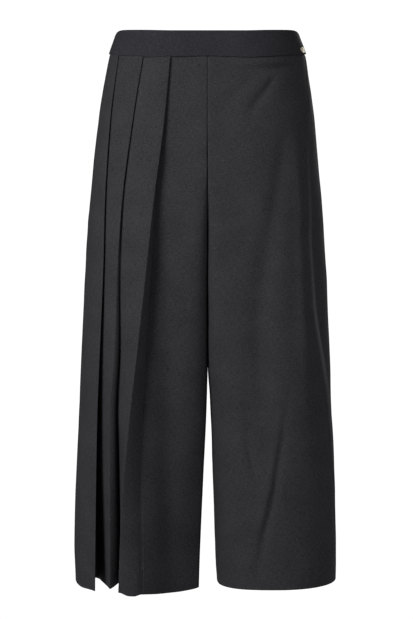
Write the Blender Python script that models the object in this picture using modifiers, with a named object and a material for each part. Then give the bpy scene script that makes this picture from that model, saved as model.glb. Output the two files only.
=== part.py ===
"""Culottes with three knife pleats on the wearer's right front, filled out with nobody in them.

Metres, +Z up. The wearer faces -Y and the wearer's right is at -X. The origin is the middle of
the waist opening, halfway up the waistband. Every piece of cloth is a grid laid along plan lines
of the body, which come from the short tables below, and a Solidify modifier gives it its wall.
"""

import math

import bmesh
import bpy
import numpy as np
from mathutils import Vector

MM = 0.001

# Driving sizes. Heights in the tables are millimetres above (+) or below (-) the origin.
BAND_HEIGHT = 35
BAND_WALL = 3.0
BAND_PROUD = 0.5  # how far the waistband's middle lies outside the cloth's middle
CLOTH_WALL = 1.1
SEAM_GAP = 0.3
LAYER = 1.8  # from the middle of one folded layer to the next
CROTCH = -272
HEM = -782
FRONT_FORK = -170  # where the front seam starts to curve in under the body
BACK_FORK = -185
BAND_TOP = BAND_HEIGHT / 2
BAND_FOOT = -BAND_HEIGHT / 2
WAIST_SLOPE = 0.27  # how much the cloth spreads for each millimetre down at the waist
WAIST_SEAM = BAND_FOOT - SEAM_GAP - BAND_PROUD * WAIST_SLOPE
WAIST_DIP = 2.6  # how much lower the waistband's lower edge hangs in front than at the sides
DIP_LIFT = 0.35  # the share of that dip that the centre front seam holds up, and over what width
DIP_LIFT_WIDTH = 25
BAND_SINK = 6.0  # how far the waistband's top edge sinks at the two sides, and how soon it recovers
BAND_SINK_WIDTH = 4.0
EDGE_EASE = 60  # the height over which the rows ease to the waistband's edge and to the hem
HEM_DROP = 3.0  # how much lower the pleated hem hangs in front than at its side seam
HEM_DROP_WIDTH = 70
HEM_INNER_DROP = 2.5  # how much lower again it hangs at its inner end, and over what width
HEM_INNER_WIDTH = 110
HEM_LIFT = 8.0  # how much the hem rises on the layers that lie back, and how far back is enough
HEM_LIFT_DEPTH = 12.0
LEFT_HEM_LIFT = 1.5  # how much higher the left leg's hem hangs
BOWS = (0, 0, 0.16, 0, 0.05)  # how far the cloth between the opened folds bellies out, as a share
BELLY_TOP = -230  # where the folds start to belly, and over what height
BELLY_EASE = 120
PLEAT_SETTLE = 90  # how far past the last pleat the cloth lies back on the body's plan

# How the cloth turns from the seat into the legs' inner faces.
TURN_IN = 1.2  # how far the seam draws in before the cloth has turned to the inner face
CORNER_BLEND = 4  # how sharply the round of the inner corner gives way to the flat face
INNER_SHARE = 0.9  # how much of the seam's way in is laid with the inner face's own columns
INNER_PACE = 1.5  # how soon those columns leave the front or back for the inner face

# How many columns each piece's grid has. The pleated front's are between its folds and round them.
SIDE_STEPS = 5
FRONT_STEPS = 15
ARC_STEPS = 4
RUN_STEPS = (2, 4, 4, 4, 3)
LEFT_STEPS = 26
BACK_RIGHT_STEPS = 22
BAND_STEPS = 34
BAND_ROWS = 3
PLEATED_INNER_STEPS = 7
PLAIN_INNER_STEPS = 8

# The body's plan at each height: how far its two sides, its fronts, its centre front and its back
# reach, where each leg is fullest, how square its outer and inner corners are, and how far the
# round of the inner corner goes back before the legs' flat inner face starts.
BODY_COLUMNS = (
    "height", "right", "left", "front_right", "front_left", "centre", "back",
    "fullest", "outer", "inner", "corner",
)
BODY_ROWS = (
    (17.5, 131.0, 130.0, 95.0, 95.0, 95.0, 98.0, 30, 2.30, 4.0, 34),
    (-17.5, 140.5, 140.0, 100.0, 100.0, 100.0, 100.0, 30, 2.30, 4.0, 34),
    (-50, 147.0, 145.4, 104.0, 104.0, 104.0, 106.0, 34, 2.30, 4.0, 34),
    (-84, 153.5, 150.7, 107.5, 107.5, 107.5, 112.5, 40, 2.30, 4.0, 34),
    (-119, 158.0, 154.7, 110.5, 110.0, 110.0, 118.0, 46, 2.30, 4.0, 34),
    (-153, 162.2, 157.6, 113.0, 112.0, 111.5, 122.0, 52, 2.30, 4.0, 34),
    (-223, 169.0, 164.1, 115.0, 112.5, 111.5, 124.0, 64, 2.30, 6.0, 26),
    (-272, 173.7, 167.8, 114.5, 110.0, 110.0, 120.0, 71, 2.30, 6.0, 32),
    (-345, 177.8, 172.3, 113.0, 106.0, 106.0, 110.0, 80, 2.30, 5.4, 46),
    (-450, 183.2, 177.1, 112.0, 103.0, 103.0, 103.0, 87, 2.30, 4.4, 76),
    (-539, 187.0, 180.0, 113.0, 101.0, 101.0, 100.0, 91, 2.30, 3.2, 108),
    (-661, 192.8, 185.3, 115.5, 100.0, 100.0, 99.0, 95, 2.22, 3.0, 125),
    (-732, 194.4, 187.2, 117.0, 100.0, 100.0, 98.5, 97, 2.12, 2.9, 132),
    (-782, 192.8, 187.2, 118.0, 100.0, 100.0, 98.0, 98, 2.08, 2.8, 135),
)

# The pleated front's inner corner goes its own way: towards the hem it flattens into a panel that
# runs back from the front pleat to the inner face.
PLEATED_CORNER_COLUMNS = ("height", "inner", "corner")
PLEATED_CORNER_ROWS = (
    (-223, 6.0, 26),
    (-272, 4.0, 28),
    (-345, 2.2, 32),
    (-450, 1.6, 42),
    (-539, 1.3, 54),
    (-661, 1.1, 66),
    (-732, 1.05, 74),
    (-782, 1.03, 78),
)

# How far each leg's inner face stands from the middle plane: they touch at the thigh.
GAP_COLUMNS = ("height", "right", "left")
GAP_ROWS = (
    (-470, 0.15, 0.15),
    (-502, 0.9, 2.6),
    (-555, 2.8, 5.0),
    (-626, 6.4, 7.6),
    (-696, 9.6, 9.8),
    (-767, 12.4, 12.5),
    (-782, 12.8, 13.4),
)

# The left side seam hangs straight from the waist, so it lies on the front until the knee: how
# far it is in from the leg's outer edge.
SIDE_SEAM_COLUMNS = ("height", "inset")
SIDE_SEAM_ROWS = (
    (-17.5, 0.3),
    (-60, 5.0),
    (-111, 11.0),
    (-157, 15.5),
    (-241, 20.0),
    (-289, 22.5),
    (-370, 21.5),
    (-412, 18.0),
    (-470, 10.5),
    (-522, 5.0),
    (-600, 2.0),
    (-782, 0.3),
)

# The knife pleats, from the side seam to the front. At each height: where the folded edge is
# across the body, how far it stands off the body's plan, how deep the cloth folded under it is,
# how far that cloth has swung out (0 lies flat underneath, 90 stands straight back, 180 lies
# open beside the edge), and the radius of the hollow at its bottom.
PLEAT_COLUMNS = ("height", "across", "rise", "depth", "opening", "hollow")
PLEATS = {
    "side": (
        (-17.5, 127.1, 1.0, 14, 3, 0.9),
        (-111, 138.8, 2.5, 14, 10, 0.9),
        (-223, 146.0, 3.5, 15, 15, 0.9),
        (-317, 148.5, 4.0, 17, 22, 0.9),
        (-433, 153.5, 5.0, 22, 38, 1.5),
        (-539, 157.8, 4.0, 30, 58, 2.5),
        (-663, 160.1, 2.0, 46, 75, 4.5),
        (-782, 161.8, 0.0, 70, 84, 6.0),
    ),
    "middle": (
        (-17.5, 91.6, 1.0, 14, 6, 0.9),
        (-111, 106.4, 2.0, 10, 14, 0.9),
        (-223, 121.1, 2.5, 6, 50, 0.9),
        (-317, 127.5, 2.5, 8, 106, 0.9),
        (-433, 131.8, 1.5, 21, 111, 0.9),
        (-539, 139.0, -3.0, 28, 120, 1.0),
        (-663, 139.4, -8.0, 36, 114, 1.0),
        (-782, 139.6, -12.0, 51, 105, 1.0),
    ),
    "front": (
        (-17.5, 52.6, 1.0, 14, 6, 0.9),
        (-111, 61.5, 3.0, 10, 30, 0.9),
        (-223, 76.1, 8.0, 13, 95, 0.9),
        (-317, 86.3, 12.0, 24, 104, 0.9),
        (-433, 99.2, 15.0, 31, 111, 1.0),
        (-539, 111.2, 14.0, 33, 123, 1.2),
        (-663, 121.7, 10.0, 34, 141, 1.2),
        (-782, 126.4, 7.0, 33, 161, 1.2),
    ),
}

# Which way a pleat's folds are pushed in: 0 square to the body's plan, 1 straight back.
LEAN_COLUMNS = ("height", "lean")
LEAN_ROWS = ((-17.5, 0.0), (-223, 0.2), (-317, 0.35), (-433, 0.6), (-539, 0.8), (-663, 1.0), (-782, 1.0))

# The largest soft folds of the plain left front: the line of each, how wide and how deep it is.
# A depth above nothing is a hollow and one below it a ridge.
FOLD_COLUMNS = ("height", "across", "width", "depth")
LEFT_FOLDS = {
    "under_band": ((-24, 100, 40, 0.0), (-36, 90, 40, 2.0), (-50, 95, 40, 0.0)),
    "long_hollow": (
        (-110, 100, 14, 0.0),
        (-161, 98, 14, 2.5),
        (-254, 83, 15, 4.0),
        (-388, 67, 17, 5.0),
        (-548, 69, 17, 3.0),
        (-640, 72, 16, 0.0),
    ),
    "side_hollow": (
        (-120, 130, 10, 0.0),
        (-190, 132, 11, 3.0),
        (-300, 134, 12, 4.5),
        (-420, 140, 12, 5.0),
        (-520, 155, 12, 3.0),
        (-620, 165, 12, 0.0),
    ),
    "shin_crease": (
        (-480, 113, 9, 0.0),
        (-550, 105, 9, 2.5),
        (-639, 91, 9, 3.5),
        (-702, 76, 10, 2.5),
        (-757, 67, 12, 0.8),
        (-782, 64, 12, 0.4),
    ),
}

# The heights of the cloth's rows, closer together where the legs part.
ROW_HEIGHTS = (
    WAIST_SEAM, -45, -75, -105, -135, -160, -185, -207, -226, -242, -254, -263, -268.7, -271.4,
    CROTCH, -285, -325, -375, -430, -490, -550, -610, -670, -730, HEM,
)

# Dressing: the zip's slider and pull at the centre back, and the plate on the waistband.
ZIP_HEIGHT = 9.0
SLIDER_LENGTH = 9.0
SLIDER_WIDTH = 5.5
SLIDER_THICKNESS = 1.2
BRIDGE_WIDTH = 1.6
BRIDGE_INSIDE = 1.0
BRIDGE_OUTSIDE = 2.0
PULL_AXIS_LIFT = 3.0  # from the waistband's face to the middle of the pull's crossbar
PULL_THICKNESS = 1.1
PULL_LENGTH = 20.0
PULL_NECK = 2.3
PULL_TAIL = 3.1
WINDOW_HALF_WIDTH = 1.4
WINDOW_LENGTH = 4.0
PLATE_LENGTH = 19.0
PLATE_HEIGHT = 6.4
PLATE_THICKNESS = 1.0
PLATE_ACROSS = 133.0
PLATE_CENTRE = -11.2
PLATE_SLOPE = math.radians(14)


def clear_scene():
    for thing in list(bpy.data.objects):
        bpy.data.objects.remove(thing, do_unlink=True)


def finish(name, colour, roughness, metallic=0.0):
    material = bpy.data.materials.new(name)
    material.use_nodes = True
    shader = material.node_tree.nodes["Principled BSDF"]
    shader.inputs["Base Color"].default_value = (*colour, 1.0)
    shader.inputs["Roughness"].default_value = roughness
    shader.inputs["Metallic"].default_value = metallic
    return material


def smooth_column(columns, rows, name, height):
    """Read one column of a table at any height, along a curve that never overshoots its rows."""
    index = columns.index(name)
    ordered = sorted(rows)
    heights = np.array([row[0] for row in ordered], dtype=float)
    values = np.array([row[index] for row in ordered], dtype=float)
    height = min(max(height, heights[0]), heights[-1])
    steps = np.diff(heights)
    slopes = np.diff(values) / steps
    ends = np.concatenate(([slopes[0]], np.zeros(len(slopes) - 1), [slopes[-1]]))
    for k in range(1, len(slopes)):
        if slopes[k - 1] * slopes[k] > 0:
            ends[k] = 2 * slopes[k - 1] * slopes[k] / (slopes[k - 1] + slopes[k])
    k = min(int(np.searchsorted(heights, height, side="right")) - 1, len(steps) - 1)
    t = (height - heights[k]) / steps[k]
    return (
        values[k] * (1 + 2 * t) * (1 - t) ** 2
        + values[k + 1] * t * t * (3 - 2 * t)
        + steps[k] * t * (1 - t) * (ends[k] * (1 - t) - ends[k + 1] * t)
    )


def body(name, height):
    return smooth_column(BODY_COLUMNS, BODY_ROWS, name, height)


def ease(t):
    t = min(max(t, 0.0), 1.0)
    return t * t * (3 - 2 * t)


class PlanLine:
    """A plan line of the cloth's middle at one height, measured along its length in millimetres."""

    POINTS = 260

    def __init__(self, points):
        along = np.concatenate(([0.0], np.cumsum(np.hypot(*np.diff(points, axis=0).T))))
        self.length = along[-1]
        self.along = np.linspace(0.0, self.length, self.POINTS)
        self.x = np.interp(self.along, along, points[:, 0])
        self.y = np.interp(self.along, along, points[:, 1])
        self.out_x = np.gradient(self.y, self.along)
        self.out_y = -np.gradient(self.x, self.along)
        spread = np.dot(self.out_x, self.x - self.x.mean()) + np.dot(self.out_y, self.y - self.y.mean())
        if spread < 0:
            self.out_x = -self.out_x
            self.out_y = -self.out_y

    def outward(self, s, lean=0.0):
        """The outward direction at s, turned by lean towards straight ahead."""
        x = np.interp(s, self.along, self.out_x) * (1 - lean)
        y = np.interp(s, self.along, self.out_y) * (1 - lean) - lean
        size = math.hypot(x, y)
        return x / size, y / size

    def at(self, s, rise=0.0, lean=0.0):
        x, y = self.outward(s, lean)
        return (
            np.interp(s, self.along, self.x) + rise * x,
            np.interp(s, self.along, self.y) + rise * y,
        )

    def find_across(self, across, rise=0.0, lean=0.0):
        """The length at which a point that stands rise off the line is across from the middle."""
        reach = np.array([abs(self.at(s, rise, lean)[0]) for s in self.along])
        fullest = int(np.argmax(reach))
        return float(np.interp(-across, -reach[fullest:], self.along[fullest:]))


def corner_line(start_x, side_x, side_y, power):
    """A quarter of a rounded oblong, from its side at nothing forward to its front."""
    turns = np.radians(np.linspace(0, 90, 90))
    x = start_x + (side_x - start_x) * np.cos(turns) ** (2 / power)
    y = side_y * np.sin(turns) ** (2 / power)
    return np.column_stack((x, y))


def seam_fall(height, face):
    """How far down the centre seam's curve a height is: 0 above the fork and 1 at the crotch and below."""
    fork = FRONT_FORK if face == "front" else BACK_FORK
    return min(max((fork - height) / (fork - CROTCH), 0.0), 1.0)


def seam_reach(height, face):
    """How far from the middle plane the centre seam lies at this height: it curves in to the crotch."""
    full = body("centre" if face == "front" else "back", height)
    return max(full * math.sqrt(1 - seam_fall(height, face) ** 2), SEAM_GAP / 2)


def inner_corner(leg, face, height):
    """How square a leg's inner corner is at this height, and how far back it goes."""
    if leg == "right" and face == "front" and height < PLEATED_CORNER_ROWS[0][0]:
        return [
            smooth_column(PLEATED_CORNER_COLUMNS, PLEATED_CORNER_ROWS, name, height)
            for name in ("inner", "corner")
        ]
    return body("inner", height), body("corner", height)


def half_line(leg, face, height):
    """The plan points of one face of a leg, from its outer side to its centre seam or inseam."""
    side = body(leg, height)
    fullest = body("fullest", height)
    reach = body("back", height) if face == "back" else body("front_" + leg, height)
    seam = seam_reach(height, face)
    outer = corner_line(fullest, side, reach, body("outer", height))
    drop = reach - seam
    power, depth = inner_corner(leg, face, height)
    corner = drop / (1 + (drop / depth) ** CORNER_BLEND) ** (1 / CORNER_BLEND)
    turned = drop / math.hypot(drop, TURN_IN)
    inner_x = max(smooth_column(GAP_COLUMNS, GAP_ROWS, leg, height), SEAM_GAP / 2)
    inner_x += turned * CLOTH_WALL / 2
    turns = np.radians(np.linspace(0, 90, 90))
    inner = np.column_stack((
        fullest + (inner_x - fullest) * np.sin(turns) ** (2 / power),
        reach - corner + corner * np.cos(turns) ** (2 / power),
    ))
    if corner < drop - 0.01:
        inner = np.vstack((inner, ((inner_x, seam),)))
    return np.vstack((outer, inner[1:]))


def spread(start, end, height, face, steps, inner_steps):
    """Lengths along a row from start to end: as the seam curves in, some steps move to the inner face."""
    full = body("centre" if face == "front" else "back", height)
    inner = INNER_SHARE * (full - seam_reach(height, face))
    outer_share = 1 - inner_steps / steps * seam_fall(height, face) ** INNER_PACE
    turn = 1 - inner / abs(end - start)
    if inner < CLOTH_WALL / 2:
        turn = outer_share
    parts = [float(np.interp(k / steps, (0, outer_share, 1), (0, turn, 1))) for k in range(steps + 1)]
    return [start + (end - start) * part for part in parts]


def placed(points, leg, face):
    """Turn a face's points to their own side: the wearer's right is -X and the front is -Y."""
    return points * (-1 if leg == "right" else 1, -1 if face == "front" else 1)


def leg_line(leg, height):
    """The whole plan line of a leg, from its back seam round the side to its front seam."""
    back = placed(half_line(leg, "back", height), leg, "back")[::-1]
    front = placed(half_line(leg, "front", height), leg, "front")
    return PlanLine(np.vstack((back, front[1:])))


def side_seam_at(leg, line, height):
    """Where along a leg's line its side seam is."""
    if leg == "right":
        return line.find_across(body(leg, height) - 0.3)
    inset = smooth_column(SIDE_SEAM_COLUMNS, SIDE_SEAM_ROWS, "inset", height)
    return line.find_across(body(leg, height) - inset)


def soft_folds(folds, across, height):
    """How far soft folds push the cloth in at one place."""
    push = 0.0
    for rows in folds.values():
        if rows[-1][0] <= height <= rows[0][0]:
            middle = smooth_column(FOLD_COLUMNS, rows, "across", height)
            width = smooth_column(FOLD_COLUMNS, rows, "width", height)
            depth = smooth_column(FOLD_COLUMNS, rows, "depth", height)
            push += depth * math.exp(-(((across - middle) / width) ** 2))
    return push


def waist_dip(x, y):
    """How far the waistband's lower edge hangs below its sides, more to both sides of the centre front."""
    ahead = max(-y, 0.0) / body("centre", BAND_FOOT)
    return WAIST_DIP * ahead * ahead * (1 - DIP_LIFT * math.exp(-((x / DIP_LIFT_WIDTH) ** 2)))


def hung(x, y, height, recess=0.0, hem_drop=0.0):
    """A point of the cloth, with its height eased to the waistband's edge above and the hem below.

    A layer that lies recess behind the body's plan is sewn in that much lower along the sloping waist.
    """
    near_waist = 1 - ease((WAIST_SEAM - height) / EDGE_EASE)
    near_hem = 1 - ease((height - HEM) / EDGE_EASE)
    waist_drop = waist_dip(x, y) + recess * WAIST_SLOPE
    return Vector((x, y, height - waist_drop * near_waist - hem_drop * near_hem)) * MM


def belt(stops, arc_steps, run_steps, bows):
    """Lay cloth round a row of folds in one cross-section and give its points.

    Each stop is (s, rise, radius) of the round that the cloth turns about: a radius above nothing
    turns it left, as a hollow does, and one below it turns it right, as a folded edge does. The
    cloth comes to the first stop and leaves the last one along +s. Between two stops it bellies
    out by its bow's share of the way.
    """
    headings = [0.0]
    bends = [0.0] + [math.atan(math.pi * bow) for bow in bows] + [0.0]
    for (s0, r0, turn0), (s1, r1, turn1) in zip(stops, stops[1:]):
        span = math.hypot(s1 - s0, r1 - r0)
        headings.append(math.atan2(r1 - r0, s1 - s0) - math.asin((turn1 - turn0) / span))
    headings.append(0.0)
    points = []
    for k, (s, rise, turn) in enumerate(stops):
        comes = headings[k] - bends[k]
        leaves = headings[k + 1] + bends[k + 1]
        for step in range(arc_steps + 1):
            heading = comes + (leaves - comes) * step / arc_steps
            points.append((s + turn * math.sin(heading), rise - turn * math.cos(heading)))
        if k + 1 < len(stops):
            heading = headings[k + 1] - bends[k + 1]
            next_s, next_rise, next_turn = stops[k + 1]
            near = np.array(points[-1])
            far = np.array((
                next_s + next_turn * math.sin(heading),
                next_rise - next_turn * math.cos(heading),
            ))
            belly = bows[k] * np.array((near[1] - far[1], far[0] - near[0]))
            for step in range(1, run_steps[k]):
                t = step / run_steps[k]
                points.append(tuple(near + (far - near) * t + belly * math.sin(math.pi * t)))
    return points


def pleat_stops(line, height, lean):
    """The rounds that the three pleats turn about: a folded edge and then a hollow for each."""
    stops = []
    edge = LAYER / 2
    for rows in PLEATS.values():
        rise = smooth_column(PLEAT_COLUMNS, rows, "rise", height)
        depth = smooth_column(PLEAT_COLUMNS, rows, "depth", height)
        opening = math.radians(smooth_column(PLEAT_COLUMNS, rows, "opening", height))
        hollow = smooth_column(PLEAT_COLUMNS, rows, "hollow", height)
        across = smooth_column(PLEAT_COLUMNS, rows, "across", height)
        s = line.find_across(across, rise, lean) - edge
        stops.append((s, rise - edge, -edge))
        layer = edge + hollow
        stops.append((
            s - depth * math.cos(opening) + layer * math.sin(opening),
            rise - edge - depth * math.sin(opening) - layer * math.cos(opening),
            hollow,
        ))
    return stops


def pleated_row(height):
    """One row of the pleated right front, from its side seam to its centre seam."""
    line = leg_line("right", height)
    lean = smooth_column(LEAN_COLUMNS, LEAN_ROWS, "lean", height)
    seam = side_seam_at("right", line, height) + SEAM_GAP / 2
    stops = pleat_stops(line, height, lean)
    opened = ease((BELLY_TOP - height) / BELLY_EASE)
    folded = belt(stops, ARC_STEPS, RUN_STEPS, [bow * opened for bow in BOWS])
    first_s, first_rise = folded[0]
    last_s, last_rise = folded[-1]
    path = []
    for step in range(SIDE_STEPS):
        t = step / SIDE_STEPS
        path.append((seam + (first_s - seam) * t, first_rise * ease(t)))
    path += folded
    for s in spread(last_s, line.length, height, "front", FRONT_STEPS, PLEATED_INNER_STEPS)[1:]:
        path.append((s, last_rise * (1 - ease((s - last_s) / PLEAT_SETTLE))))
    points = []
    for s, rise in path:
        x, y = line.at(s, rise, lean)
        recess = max(-rise, 0.0)
        hem_drop = HEM_DROP * ease((s - seam) / HEM_DROP_WIDTH)
        hem_drop += HEM_INNER_DROP * ease((s - last_s) / HEM_INNER_WIDTH)
        hem_drop -= HEM_LIFT * (1 - math.exp(-recess / HEM_LIFT_DEPTH))
        points.append(hung(x, y, height, recess, hem_drop))
    return points


def plain_row(leg, face, height, steps, folds=None):
    """One row of a plain panel, from its side seam to its centre seam."""
    line = leg_line(leg, height)
    seam = side_seam_at(leg, line, height)
    if face == "front":
        start, end = seam + SEAM_GAP / 2, line.length
    else:
        start, end = seam - SEAM_GAP / 2, 0.0
    points = []
    for s in spread(start, end, height, face, steps, PLAIN_INNER_STEPS):
        x, y = line.at(s)
        push = soft_folds(folds, abs(x), height) if folds and y < -20 else 0.0
        x, y = line.at(s, -push)
        points.append(hung(x, y, height, hem_drop=-LEFT_HEM_LIFT if leg == "left" else 0.0))
    return points


def cloth(name, rows, wall, material, collection):
    """A panel of cloth: a grid whose rows of points are the middle of its wall."""
    across, up = len(rows[0]) - 1, len(rows) - 1
    net = bmesh.new()
    bmesh.ops.create_grid(net, x_segments=across, y_segments=up, size=0.5)
    for vert in net.verts:
        column = round((vert.co.x + 0.5) * across)
        row = round((vert.co.y + 0.5) * up)
        vert.co = rows[row][column]
    mesh = bpy.data.meshes.new(name)
    net.to_mesh(mesh)
    net.free()
    mesh.materials.append(material)
    panel = bpy.data.objects.new(name, mesh)
    collection.objects.link(panel)
    shell = panel.modifiers.new("wall", "SOLIDIFY")
    shell.thickness = wall * MM
    shell.offset = 0.0
    shell.use_even_offset = True
    mesh.shade_smooth()
    return panel


def band_line(height, face):
    """The plan points of one face of the waistband's middle, from the right side to the left."""
    right = placed(half_line("right", face, height), "right", face)
    left = placed(half_line("left", face, height), "left", face)
    return PlanLine(np.vstack((right, left[::-1])))


def band_point(line, s, height):
    """A point of the waistband: its foot follows the waist seam and its top sinks at the sides."""
    x, y = line.at(s, BAND_PROUD)
    part = (height - BAND_FOOT) / BAND_HEIGHT
    inward = body("right" if x < 0 else "left", height) + BAND_PROUD - abs(x)
    sink = BAND_SINK * math.exp(-inward / BAND_SINK_WIDTH) * part
    return Vector((x, y, height - waist_dip(x, y) * (1 - part) - sink)) * MM


def band_rows(face, part):
    """Rows of points of a piece of the waistband, which spans part (from, to) of its face."""
    across = round(BAND_STEPS * (part[1] - part[0]))
    rows = []
    for level in range(BAND_ROWS + 1):
        height = BAND_FOOT + BAND_HEIGHT * level / BAND_ROWS
        line = band_line(height, face)
        start = line.length * part[0] + SEAM_GAP / 2
        end = line.length * part[1] - SEAM_GAP / 2
        step = (end - start) / across
        rows.append([band_point(line, start + step * k, height) for k in range(across + 1)])
    return rows


def flat_piece(name, outline, thickness, collection):
    """A flat outline given a thickness: a mesh made from a filled 2D curve, its middle at nothing."""
    curve = bpy.data.curves.new(name, "CURVE")
    curve.dimensions = "2D"
    curve.fill_mode = "BOTH"
    curve.extrude = thickness * MM / 2
    spline = curve.splines.new("POLY")
    spline.points.add(len(outline) - 1)
    for point, (x, y) in zip(spline.points, outline):
        point.co = (x * MM, y * MM, 0.0, 1.0)
    spline.use_cyclic_u = True
    drawn = bpy.data.objects.new(name + "_outline", curve)
    collection.objects.link(drawn)
    evaluated = drawn.evaluated_get(bpy.context.evaluated_depsgraph_get())
    mesh = bpy.data.meshes.new_from_object(evaluated)
    mesh.name = name
    net = bmesh.new()
    net.from_mesh(mesh)
    bmesh.ops.remove_doubles(net, verts=net.verts, dist=0.00001)
    net.to_mesh(mesh)
    net.free()
    bpy.data.objects.remove(drawn, do_unlink=True)
    piece = bpy.data.objects.new(name, mesh)
    collection.objects.link(piece)
    return piece


def arc(centre_x, centre_y, radius, start, end, steps):
    """Points of an arc, its angles in degrees."""
    angles = [math.radians(start + (end - start) * k / steps) for k in range(steps + 1)]
    return [(centre_x + radius * math.cos(a), centre_y + radius * math.sin(a)) for a in angles]


def joined(piece, other, operation):
    """Cut or fuse other into piece, and put other away as a cutter."""
    change = piece.modifiers.new(operation.lower(), "BOOLEAN")
    change.object = other
    change.operation = operation
    change.solver = "EXACT"
    other.hide_render = True
    other.display_type = "WIRE"


def zip_closure(metal, parts, cutters):
    """The slider of the centre back's concealed zip, and the pull that hangs in its bridge."""
    heights = (ZIP_HEIGHT - PULL_LENGTH / 2, ZIP_HEIGHT + PULL_LENGTH / 4)
    depths = [body("back", h) for h in heights]
    face = np.interp(ZIP_HEIGHT, heights, depths) + BAND_PROUD + BAND_WALL / 2
    slope = math.atan2(depths[0] - depths[1], heights[1] - heights[0])
    axis = bpy.data.objects.new("zip_axis", None)
    parts.objects.link(axis)
    axis.location = Vector((0.0, face + PULL_AXIS_LIFT, ZIP_HEIGHT)) * MM
    axis.rotation_euler = (slope, 0.0, 0.0)

    plate_top = -PULL_AXIS_LIFT + SEAM_GAP + SLIDER_THICKNESS
    half_width = SLIDER_WIDTH / 2
    tail = half_width * 0.6
    outline = arc(0, SLIDER_LENGTH / 2 - half_width, half_width, 0, 180, 8)
    outline += arc(0, tail - SLIDER_LENGTH / 2, tail, 180, 360, 8)
    slider = flat_piece("zip_slider", outline, SLIDER_THICKNESS, parts)
    for vert in slider.data.vertices:
        x, y, z = vert.co
        vert.co = (x, z + (plate_top - SLIDER_THICKNESS / 2) * MM, y)
    slider.data.flip_normals()

    foot = plate_top - SLIDER_THICKNESS / 2
    bridge_outline = [(foot, -BRIDGE_OUTSIDE)]
    bridge_outline += arc(0, 0, BRIDGE_OUTSIDE, -90, 90, 8)
    bridge_outline += [(foot, BRIDGE_OUTSIDE), (foot, BRIDGE_INSIDE)]
    bridge_outline += arc(0, 0, BRIDGE_INSIDE, 90, -90, 8)
    bridge_outline += [(foot, -BRIDGE_INSIDE)]
    bridge = flat_piece("zip_bridge", bridge_outline, BRIDGE_WIDTH, cutters)
    for vert in bridge.data.vertices:
        x, y, z = vert.co
        vert.co = (z, x, y)
    joined(slider, bridge, "UNION")

    bar = PULL_THICKNESS / 2
    pull_outline = arc(PULL_NECK - 0.6, bar - 0.6, 0.6, 0, 90, 3)
    pull_outline += arc(-PULL_NECK + 0.6, bar - 0.6, 0.6, 90, 180, 3)
    pull_outline += arc(0, PULL_TAIL - PULL_LENGTH, PULL_TAIL, 185, 355, 10)
    pull = flat_piece("zip_pull", pull_outline, PULL_THICKNESS, parts)
    window_outline = [
        (-WINDOW_HALF_WIDTH, -bar),
        (-WINDOW_HALF_WIDTH, -bar - WINDOW_LENGTH),
        (WINDOW_HALF_WIDTH, -bar - WINDOW_LENGTH),
        (WINDOW_HALF_WIDTH, -bar),
    ]
    window = flat_piece("zip_pull_window", window_outline, PULL_THICKNESS * 3, cutters)
    for flat in (pull, window):
        for vert in flat.data.vertices:
            x, y, z = vert.co
            vert.co = (x, z, y)
        flat.data.flip_normals()
    joined(pull, window, "DIFFERENCE")
    for piece in (slider, bridge, pull, window):
        piece.parent = axis
    for piece in (slider, pull):
        piece.data.materials.clear()
        piece.data.materials.append(metal)


def waist_plate(metal, parts):
    """A small bare oval plate on the wearer's left of the waistband, bent to the waistband's face."""
    across, up = 10, 6
    clear = BAND_PROUD + BAND_WALL / 2 + SEAM_GAP + PLATE_THICKNESS / 2
    rows = []
    for row in range(up + 1):
        points = []
        for column in range(across + 1):
            u = column / across * 2 - 1
            v = row / up * 2 - 1
            long = u * math.sqrt(1 - v * v / 2) * PLATE_LENGTH / 2
            tall = v * math.sqrt(1 - u * u / 2) * PLATE_HEIGHT / 2
            along = long * math.cos(PLATE_SLOPE) + tall * math.sin(PLATE_SLOPE)
            height = PLATE_CENTRE - long * math.sin(PLATE_SLOPE) + tall * math.cos(PLATE_SLOPE)
            line = PlanLine(placed(half_line("left", "front", height), "left", "front"))
            x, y = line.at(line.find_across(PLATE_ACROSS) - along, clear)
            points.append(Vector((x, y, height)) * MM)
        rows.append(points)
    cloth("waist_plate", rows, PLATE_THICKNESS, metal, parts)


def build():
    clear_scene()
    parts = bpy.data.collections.new("culottes")
    cutters = bpy.data.collections.new("cutters")
    for collection in (parts, cutters):
        bpy.context.scene.collection.children.link(collection)
    suiting = finish("suiting", (0.028, 0.027, 0.033), 0.75)
    band_cloth = finish("band_suiting", (0.026, 0.025, 0.031), 0.75)
    metal = finish("pale_metal", (0.78, 0.72, 0.60), 0.25, 1.0)

    up = ROW_HEIGHTS[::-1]
    panels = {
        "front_right": [pleated_row(height) for height in up],
        "front_left": [plain_row("left", "front", height, LEFT_STEPS, LEFT_FOLDS) for height in up],
        "back_right": [plain_row("right", "back", height, BACK_RIGHT_STEPS) for height in up],
        "back_left": [plain_row("left", "back", height, LEFT_STEPS) for height in up],
    }
    for name, rows in panels.items():
        cloth(name, rows, CLOTH_WALL, suiting, parts)

    band_pieces = {
        "waistband_front": band_rows("front", (0, 1)),
        "waistband_back_right": band_rows("back", (0, 0.5)),
        "waistband_back_left": band_rows("back", (0.5, 1)),
    }
    for name, rows in band_pieces.items():
        cloth(name, rows, BAND_WALL, band_cloth, parts)
    waist_plate(metal, parts)
    zip_closure(metal, parts, cutters)


build()
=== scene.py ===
"""Culottes with three knife pleats on the right front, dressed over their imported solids.

Sizes are in millimetres unless they say otherwise, and MM turns them into Blender's metres. The
garment hangs filled out from its waist: +Z is up, the wearer faces -Y and has the right leg at -X.
"""

import math

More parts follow.
